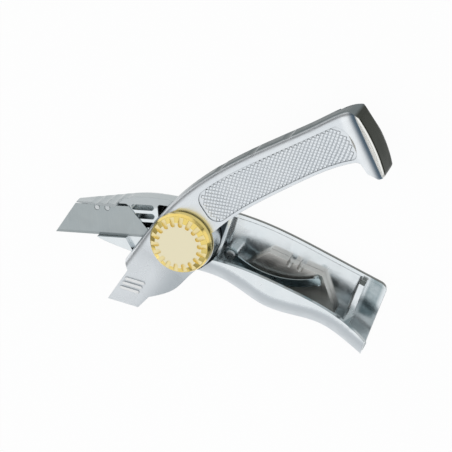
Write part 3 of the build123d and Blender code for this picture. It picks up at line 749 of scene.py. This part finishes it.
# The flank colours below are painted shade on sideways faces.
FRONT_FINISH = FrontFinish(
    Slot.FRONT_CASTING, base=(0.76, 0.79, 0.82), worn=(0.86, 0.88, 0.90), smooth=0.24, rough=0.34,
    grain_height=0.000012, edge_tint=(0.70, 0.71, 0.71), shade_share=0.6, shade_reach=0.0025,
    shade_alone=False, flank_shade=(0.15, 0.175, 0.18), flank_rise=(0.30, 0.80))
GRIP_FINISH = Finish(
    Slot.FRONT_CASTING, base=(0.82, 0.85, 0.88), worn=(0.90, 0.92, 0.94), smooth=0.26, rough=0.36,
    shade_share=0.3, shade_reach=0.0012)
REAR_FINISH = RearFinish(
    Slot.REAR_CASTING, base=(0.78, 0.82, 0.84), worn=(0.89, 0.91, 0.92), smooth=0.16, rough=0.28,
    grain_height=0.00001, shade=(0.20, 0.25, 0.26), shade_share=0.62, shade_reach=0.003,
    shade_span=(0.03, 0.38), shade_alone=False, flank_shade=(0.44, 0.48, 0.49))
KNOB_FINISH = KnobFinish(
    Slot.GOLD_KNOB, base=(0.88, 0.66, 0.18), worn=(0.95, 0.79, 0.34), smooth=0.14, rough=0.24,
    grain_height=0.000008)
BLADE_FINISH = Finish(
    Slot.BLADE_STEEL, base=(0.41, 0.45, 0.46), worn=(0.50, 0.53, 0.53), smooth=0.28, rough=0.40,
    brush_turn=pi / 2, grain_height=0.000012, edge_round=0.00006)
SPARE_FINISH = Finish(
    Slot.BLADE_STEEL, base=(0.62, 0.60, 0.57), worn=(0.74, 0.71, 0.67), smooth=0.28, rough=0.42,
    brush_turn=radians(22.0), grain_height=0.000012, edge_round=0.00006)
CLIP_FINISH = Finish(
    Slot.SPRING_STEEL, base=(0.36, 0.45, 0.48), worn=(0.56, 0.64, 0.66), smooth=0.16, rough=0.30,
    grain_height=0.00001, edge_round=0.00015)
PLATED_FINISH = Finish(
    Slot.PLATED_STEEL, base=(0.58, 0.60, 0.61), worn=(0.72, 0.73, 0.73), smooth=0.20, rough=0.34,
    grain_height=0.00001, edge_round=0.00015)
BRONZE_FINISH = Finish(
    Slot.BEARING_BRONZE, base=(0.55, 0.36, 0.18), worn=(0.68, 0.48, 0.27), smooth=0.28, rough=0.42,
    edge_round=0.0001)
BRASS_FINISH = Finish(
    Slot.INSERT_BRASS, base=(0.68, 0.53, 0.26), worn=(0.80, 0.66, 0.38), smooth=0.24, rough=0.38,
    edge_round=0.0001)

NODE_FINISHES: dict[str, Finish] = {
    "front_shell": FRONT_FINISH,
    "rear_shell": REAR_FINISH,
    "knob": KNOB_FINISH,
    "working_blade": BLADE_FINISH,
    "blade_clip": CLIP_FINISH,
    "clamp_screw": PLATED_FINISH,
    "clip_screw": PLATED_FINISH,
    "retaining_ring": PLATED_FINISH,
    "locating_peg_1": PLATED_FINISH,
    "locating_peg_2": PLATED_FINISH,
    "thrust_washer": BRONZE_FINISH,
    "pivot_sleeve": BRONZE_FINISH,
    "threaded_insert": BRASS_FINISH,
}
SPARE_PREFIX = "spare_blade"


@dataclass
class Wardrobe:
    """Materials of every finish, each built when it is first asked for."""

    effects: Effects
    made: dict[Finish, Material] = field(default_factory=dict)

    def wear(self, thing: Object, finish: Finish, name: str) -> None:
        """Put a finish on every face of an object.

        Args:
            thing: The object.
            finish: Its finish.
            name: Name for the material when it is new.
        """
        if finish not in self.made:
            self.made[finish] = finish.dress(name, self.effects)
        thing.data.materials.clear()
        thing.data.materials.append(self.made[finish])
        for face in thing.data.polygons:
            face.material_index = 0


@dataclass(frozen=True)
class Handle:
    """Axes of the opened front shell's handle, in metres from stations in millimetres.

    Drop and opened are in degrees.
    """

    drop: float = 22.0
    opened: float = 53.0

    @property
    def turn(self) -> float:
        """Angle of the opened handle's axis from +X, in radians."""
        return radians(self.opened - self.drop)

    def place(self, s: float, n: float, z: float) -> Vector:
        """Place on the opened front shell.

        Args:
            s: Distance along the handle, mm.
            n: Distance across it, mm.
            z: Height, mm.

        Returns:
            The place in metres.
        """
        c, d = cos(self.turn), sin(self.turn)
        return Vector((s * c - n * d, s * d + n * c, z)) * MM


def across(line: tuple[Station, ...], s: float) -> float:
    """Read an outline at a station.

    Args:
        line: Outline as stations along and across the handle.
        s: Station along the handle.

    Returns:
        How far across the handle the outline lies there.
    """
    k = min(max(1, sum(p[0] < s for p in line)), len(line) - 1)
    (s0, n0), (s1, n1) = line[k - 1], line[k]
    return n0 + (n1 - n0) * (s - s0) / (s1 - s0)


def add_object(name: str, data: ID) -> Object:
    """Put new data into the scene.

    Args:
        name: Name of the object.
        data: Its mesh, light or camera.

    Returns:
        The new object.
    """
    thing = bpy.data.objects.new(name, data)
    bpy.context.scene.collection.objects.link(thing)
    return thing


def mesh_object(name: str, mesh: BMesh) -> Object:
    """Turn a bmesh into an object.

    Args:
        name: Name of the object.
        mesh: Its mesh, which is used up.

    Returns:
        The new object.
    """
    data = bpy.data.meshes.new(name)
    mesh.to_mesh(data)
    mesh.free()
    return add_object(name, data)


def finish_piece(name: str, mesh: BMesh, body: Body) -> Object:
    """Turn a bmesh into a piece that rides on a body.

    Args:
        name: Name of the piece.
        mesh: Its mesh, in place.
        body: Body that it rides on.

    Returns:
        The new object.
    """
    bmesh.ops.recalc_face_normals(mesh, faces=mesh.faces)
    piece = mesh_object(name, mesh)
    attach(piece, body.value)
    LOG.info("%s: %d faces on %s", name, len(piece.data.polygons), body.value)
    return piece


@dataclass
class FrontCasting:
    """Front shell as packed, with the pommel's back and its corner at the spine rolled round.

    Sizes and stations are in millimetres on the handle's axes, the sweep is in degrees, and the
    distances for merging are in metres.
    """

    axes: Handle = Handle()
    node: str = "front_shell"
    end_axis: Station = (56.6, 6.9)
    end_radius: float = 77.4
    roll: float = 13.5
    sweep: Span = (-40.0, 25.0)
    spare: float = 15.0
    corner: Station = (133.2, 17.4)
    spine_way: Station = (-0.970, 0.243)
    end_way: Station = (0.136, -0.991)
    corner_round: float = 12.0
    corner_tall: float = 60.0
    proud: float = 0.1
    arc_steps: int = 8
    sweep_steps: int = 30
    crease: float = radians(28.0)
    tool_merge: float = 1e-7
    node_merge: float = 1e-6
    layer: str = "packed_normal"
    whole: float = 0.5

    def build(self, wardrobe: Wardrobe) -> None:
        """Model the casting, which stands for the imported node, and dress it.

        Args:
            wardrobe: Materials of the finishes.
        """
        piece = finish_piece("front_casting", self.merged_copy(), Body.FRONT)
        tools = [self.heel_tool(), self.corner_tool()]
        for tool in tools:
            cut = piece.modifiers.new(tool.name, "BOOLEAN")
            cut.operation, cut.solver, cut.object = "DIFFERENCE", "EXACT", tool
        self.bake(piece)
        for tool in tools:
            bpy.data.objects.remove(tool)
        self.smooth(piece)
        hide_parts(self.node)
        wardrobe.wear(piece, FRONT_FINISH, "front_casting_front_shell")
        LOG.info("front_casting rolled round: %d faces", len(piece.data.polygons))

    def merged_copy(self) -> BMesh:
        """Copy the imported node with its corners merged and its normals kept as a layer.

        Returns:
            The copy.
        """
        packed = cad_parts[self.node].data
        mesh = bmesh.new()
        mesh.from_mesh(packed)
        layer = mesh.loops.layers.float_vector.new(self.layer)
        for face, old in zip(mesh.faces, packed.polygons):
            for loop, corner in zip(face.loops, old.loop_indices):
                loop[layer] = packed.corner_normals[corner].vector
        bmesh.ops.remove_doubles(mesh, verts=mesh.verts, dist=self.node_merge)
        return mesh

    def heel_tool(self) -> Object:
        """Make the ring that rolls the pommel's back round, level with its end.

        Returns:
            The tool.
        """
        mesh = bmesh.new()
        inner, outer = self.end_radius - self.roll, self.end_radius + self.spare
        start, last = Vector((self.end_radius, 0.0, self.roll)), Vector((inner, 0.0, 0.0))
        self.arc(mesh, start, Vector((inner, 0.0, self.roll)), Vector((0.0, 1.0, 0.0)), pi / 2)
        faces = self.close(mesh, start, last, (Vector((inner, 0.0, -self.spare)),
                                               Vector((outer, 0.0, -self.spare)),
                                               Vector((outer, 0.0, self.roll))))
        low, high = (radians(angle) for angle in self.sweep)
        bmesh.ops.rotate(mesh, verts=mesh.verts, cent=Vector(), matrix=Matrix.Rotation(low, 3, "Z"))
        bmesh.ops.spin(mesh, geom=[*mesh.verts, *mesh.edges, *faces], cent=Vector(), axis=UP,
                       angle=high - low, steps=self.sweep_steps)
        return self.tool("heel_tool", mesh, self.end_axis)

    def corner_tool(self) -> Object:
        """Make the upright tool that rounds the corner between spine and pommel's end.

        Returns:
            The tool.
        """
        mesh = bmesh.new()
        spine, end = (Vector((*way, 0.0)).normalized() for way in (self.spine_way, self.end_way))
        half = spine.angle(end) / 2
        inward = (spine + end).normalized()
        away = self.corner_round / sin(half)
        reach = away * cos(half)
        start, last = (way * reach - inward * self.proud for way in (spine, end))
        self.arc(mesh, start, inward * (away - self.proud), -UP, pi - 2 * half)
        faces = self.close(mesh, start, last, (inward * -self.spare,))
        bmesh.ops.translate(mesh, verts=mesh.verts, vec=UP * -self.spare)
        grown = bmesh.ops.extrude_face_region(mesh, geom=faces)["geom"]
        tops = [part for part in grown if isinstance(part, BMVert)]
        bmesh.ops.translate(mesh, verts=tops, vec=UP * self.corner_tall)
        return self.tool("corner_tool", mesh, self.corner)

    def arc(self, mesh: BMesh, start: Vector, middle: Vector, axis: Vector,
            angle: float) -> None:
        """Draw an arc of edges.

        Args:
            mesh: Mesh that it goes into.
            start: First point.
            middle: Centre of the arc.
            axis: Axis that it turns about.
            angle: Angle that it covers.
        """
        bmesh.ops.spin(mesh, geom=[mesh.verts.new(start)], cent=middle, axis=axis, angle=angle,
                       steps=self.arc_steps)

    @staticmethod
    def close(mesh: BMesh, first: Vector, last: Vector,
              rest: tuple[Vector, ...]) -> list[BMFace]:
        """Close an arc into a face.

        Args:
            mesh: Mesh with the arc.
            first: Where the arc starts.
            last: Where the arc ends.
            rest: Corners from its end back to its start.

        Returns:
            The face in a list.
        """
        ends = [min(mesh.verts, key=lambda v, p=p: (v.co - p).length) for p in (last, first)]
        chain = [ends[0], *(mesh.verts.new(p) for p in rest), ends[1]]
        for a, b in zip(chain, chain[1:]):
            mesh.edges.new((a, b))
        return bmesh.ops.contextual_create(mesh, geom=mesh.edges)["faces"]

    def tool(self, name: str, mesh: BMesh, shift: Station) -> Object:
        """Turn a mesh on the handle's axes, in mm, into a cutting tool in place.

        Args:
            name: Name of the tool.
            mesh: Its mesh.
            shift: Where its origin lies on the handle.

        Returns:
            The tool.
        """
        turn = Matrix.Rotation(self.axes.turn, 4, "Z")
        place = turn @ Matrix.Scale(MM, 4) @ Matrix.Translation((*shift, 0.0))
        bmesh.ops.transform(mesh, matrix=place, verts=mesh.verts)
        bmesh.ops.remove_doubles(mesh, verts=mesh.verts, dist=self.tool_merge)
        bmesh.ops.recalc_face_normals(mesh, faces=mesh.faces)
        return mesh_object(name, mesh)

    @staticmethod
    def bake(piece: Object) -> None:
        """Put a piece's modifiers into its mesh.

        Args:
            piece: The piece.
        """
        graph = bpy.context.evaluated_depsgraph_get()
        shaped = bpy.data.meshes.new_from_object(piece.evaluated_get(graph))
        piece.modifiers.clear()
        piece.data = shaped

    def smooth(self, piece: Object) -> None:
        """Shade the cut faces smooth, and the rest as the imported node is.

        Args:
            piece: The cut casting.
        """
        for face in piece.data.polygons:
            face.use_smooth = True
        piece.data.set_sharp_from_angle(angle=self.crease)
        piece.modifiers.new("weigh", "WEIGHTED_NORMAL").keep_sharp = True
        self.bake(piece)
        mesh = piece.data
        kept = [row.vector.copy() for row in mesh.attributes[self.layer].data]
        # A cut face's corners have no packed normal of full length
        normals = [old.normalized() if old.length > self.whole else new.vector.copy()
                   for old, new in zip(kept, mesh.corner_normals)]
        mesh.normals_split_custom_set(normals)
        mesh.attributes.remove(mesh.attributes[self.layer])


@dataclass
class GripPanel:
    """Chequered grip panel sunk into the front shell: rows of small raised diamonds.

    Sizes and stations are in millimetres on the handle's axes.
    """

    axes: Handle = Handle()
    spine: tuple[Station, ...] = ((6.5, 21.4), (36.0, 24.9), (72.0, 23.8), (110.0, 20.7),
                                  (124.0, 19.7), (133.2, 17.4))
    seam: tuple[Station, ...] = ((20.0, -4.5), (38.0, -2.1), (66.0, -2.1), (86.0, -3.0),
                                 (107.0, -5.4), (118.9, -8.6))
    start: float = 22.0
    stop: float = 118.0
    bulge: float = 4.4
    round_power: int = 6
    top_inset: float = 5.0
    low_inset: float = 1.7
    floor_z: float = 25.4
    sunk: float = 0.05
    height: float = 0.4
    pitch: float = 2.9
    rows: int = 14
    sides: int = 4
    margin: float = 0.6
    corner: float = 7.0
    crown: float = 0.6
    overlap: float = 1.06

    def build(self, wardrobe: Wardrobe) -> None:
        """Model the diamonds and dress them.

        Args:
            wardrobe: Materials of the finishes.
        """
        mesh = bmesh.new()
        columns = int((self.stop + self.bulge - self.start) / self.pitch * 2) + 2
        for column in range(columns):
            s = self.start + column * self.pitch / 2
            low, high = self.band(s)
            step = (high - low) / self.rows
            for row in range(column % 2, self.rows + 1, 2):
                n = low + step * (0.5 + row * (self.rows - 1) / self.rows)
                if self.inside(s, n):
                    self.diamond(mesh, s, n, step)
        piece = finish_piece("grip_chequering", mesh, Body.FRONT)
        wardrobe.wear(piece, GRIP_FINISH, "front_casting_grip")

    def band(self, s: float) -> Span:
        """Give the lower and upper edge of the chequering at a station."""
        return (across(self.seam, s) + self.low_inset + self.margin,
                across(self.spine, s) - self.top_inset - self.margin)

    def inside(self, s: float, n: float) -> bool:
        """Tell whether a diamond's middle lies within the rounded ends.

        Args:
            s: Station along the handle.
            n: Place across the handle.

        Returns:
            True where the diamond fits.
        """
        low, high = self.band(s)
        tight = max(0.0, self.corner - min(n - low, high - n))
        away = abs(2.0 * n - low - high) / (high - low)
        rounding = self.corner - sqrt(max(0.0, self.corner ** 2 - tight ** 2))
        swell = self.bulge * (1.0 - away ** 2) - away ** self.round_power
        left = self.start + self.margin + rounding
        right = self.stop - self.margin + swell
        return left + self.pitch / 2 < s < right - self.pitch / 2

    def diamond(self, mesh: BMesh, s: float, n: float, step: float) -> None:
        """Raise one diamond.

        Args:
            mesh: Mesh that it goes into.
            s: Station along the handle.
            n: Place across the handle.
            step: Half its width across the handle, before the overlap.
        """
        depth = self.height + self.sunk
        place = self.axes.place(s, n, self.floor_z - self.sunk + depth / 2)
        turn = Matrix.Rotation(self.axes.turn, 4, "Z")
        size = Matrix.Diagonal((self.pitch * MM * self.overlap / 2, step * MM * self.overlap,
                                depth * MM, 1.0))
        bmesh.ops.create_cone(mesh, cap_ends=True, cap_tris=False, segments=self.sides, radius1=1.0,
                              radius2=self.crown, depth=1.0,
                              matrix=Matrix.Translation(place) @ turn @ size)


@dataclass(frozen=True)
class Lamp:
    """Square soft light: its place and side in metres, and its power in watts."""

    name: str
    place: Place
    side: float
    power: float

    def hang(self) -> None:
        """Hang the light so that it faces the knife."""
        light = bpy.data.lights.new(self.name, "AREA")
        light.shape = "SQUARE"
        light.size = self.side
        light.energy = self.power
        thing = add_object(self.name, light)
        thing.location = self.place
        thing.rotation_mode = "QUATERNION"
        thing.rotation_quaternion = (-Vector(self.place)).to_track_quat("-Z", "Y")


@dataclass
class Studio:
    """Pale floor, soft light and the camera.

    Lengths are in metres, the camera's turns about X, Y and Z in degrees, its image and focal length
    in pixels and its sensor in millimetres. A sky tone is a height, from 0 to 1, and its brightness;
    the two ends come first.
    """

    floor_half: float = 3.0
    floor_z: float = -0.0003
    floor_tone: Colour = (0.86, 0.87, 0.88)
    floor_white: float = 0.96
    fleck_tone: Colour = (0.8, 0.8, 0.8)
    fleck_share: float = 0.05
    fleck_scale: float = 40.0
    sky_tones: tuple[tuple[float, float], ...] = ((0.0, 0.30), (1.0, 0.98), (0.50, 0.25),
                                                  (0.68, 0.27), (0.80, 0.38), (0.90, 0.64),
                                                  (0.96, 0.90))
    sky_tint: Colour = (0.97, 0.99, 1.0)
    lamps: tuple[Lamp, ...] = (Lamp("softbox_low", (-0.50, -0.95, 0.16), 0.8, 1.2),
                               Lamp("softbox_left", (-1.0, 0.6, 0.9), 0.6, 0.2),
                               Lamp("softbox_ridge", (-0.80, -0.60, 0.12), 0.3, 0.2))
    image: float = 452.0
    focal: float = 2000.0
    sensor: float = 36.0
    clip: Span = (0.01, 20.0)
    eye: Place = (0.3744, 0.4437, 1.0110)
    eye_turns: Place = (-23.7428, 17.8809, -3.8260)

    def build(self) -> None:
        """Set up the whole studio."""
        self.floor()
        self.sky()
        for lamp in self.lamps:
            lamp.hang()
        self.camera()
        bpy.context.scene.view_settings.view_transform = "Standard"

    def floor(self) -> None:
        """Lay the floor."""
        mesh = bmesh.new()
        bmesh.ops.create_grid(mesh, x_segments=1, y_segments=1, size=self.floor_half,
                              matrix=Matrix.Translation((0.0, 0.0, self.floor_z)))
        floor = mesh_object("floor", mesh)
        floor.data.materials.append(self.paper())

    def paper(self) -> Material:
        """Make a paper that looks white, also in reflections, and shows a soft shadow.

        Returns:
            The material.
        """
        material = bpy.data.materials.new("floor_paper")
        material.use_nodes = True
        nodes = material.node_tree.nodes
        nodes.remove(nodes["Principled BSDF"])
        sheet = Sheet(material.node_tree)
        path = sheet.node("ShaderNodeLightPath").outputs
        mirrored = sheet.math("MAXIMUM", path["Is Glossy Ray"], path["Is Transmission Ray"])
        seen = sheet.math("MAXIMUM", path["Is Camera Ray"], mirrored)
        fleck = sheet.node("ShaderNodeTexNoise", Scale=self.fleck_scale,
                           Vector=sheet.coordinates("Object"))
        tone = sheet.mix(sheet.product(fleck.outputs[0], self.fleck_share), self.floor_tone,
                         self.fleck_tone)
        paper = sheet.node("ShaderNodeBsdfDiffuse", Color=tone)
        white = sheet.node("ShaderNodeEmission")
        blend = sheet.node("ShaderNodeMixShader")
        sheet.feed(blend, 0, sheet.product(seen, self.floor_white))
        sheet.feed(blend, 1, paper.outputs[0])
        sheet.feed(blend, 2, white.outputs[0])
        sheet.feed(nodes["Material Output"], "Surface", blend.outputs[0])
        return material

    def sky(self) -> None:
        """Hang a plain gradient round the scene, white above and grey at the horizon."""
        world = bpy.data.worlds.new("studio")
        bpy.context.scene.world = world
        world.use_nodes = True
        sheet = Sheet(world.node_tree)
        rise = sheet.height(sheet.coordinates("Generated"))
        ramp = sheet.node("ShaderNodeValToRGB", Fac=sheet.fade(rise, -1.0, 1.0))
        stops = ramp.color_ramp.elements
        ends = len(stops)
        for k, (at, tone) in enumerate(self.sky_tones):
            stop = stops[k] if k < ends else stops.new(at)
            stop.position = at
            stop.color = (*(tone * share for share in self.sky_tint), 1.0)
        sheet.feed(world.node_tree.nodes["Background"], "Color", ramp.outputs[0])

    def camera(self) -> None:
        """Stand the camera where the photograph was taken from."""
        lens = bpy.data.cameras.new("camera")
        lens.sensor_width = self.sensor
        lens.lens = self.focal / self.image * self.sensor
        lens.clip_start, lens.clip_end = self.clip
        thing = add_object("camera", lens)
        thing.location = self.eye
        thing.rotation_euler = [radians(angle) for angle in self.eye_turns]
        bpy.context.scene.camera = thing


def dress_nodes(wardrobe: Wardrobe) -> None:
    """Put a finish on every CAD node.

    Args:
        wardrobe: Materials of the finishes.
    """
    for name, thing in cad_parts.items():
        finish = SPARE_FINISH if name.startswith(SPARE_PREFIX) else NODE_FINISHES[name]
        wardrobe.wear(thing, finish, f"{finish.slot.value}_{name}")
        LOG.info("%s dressed in %s", name, finish.slot.value)


def main() -> None:
    """Build the pieces, dress them and set up the studio."""
    logging.basicConfig(level=logging.INFO)
    wardrobe = Wardrobe(Effects())
    dress_nodes(wardrobe)
    FrontCasting().build(wardrobe)
    GripPanel().build(wardrobe)
    Studio().build()


if __name__ == "__main__":
    main()
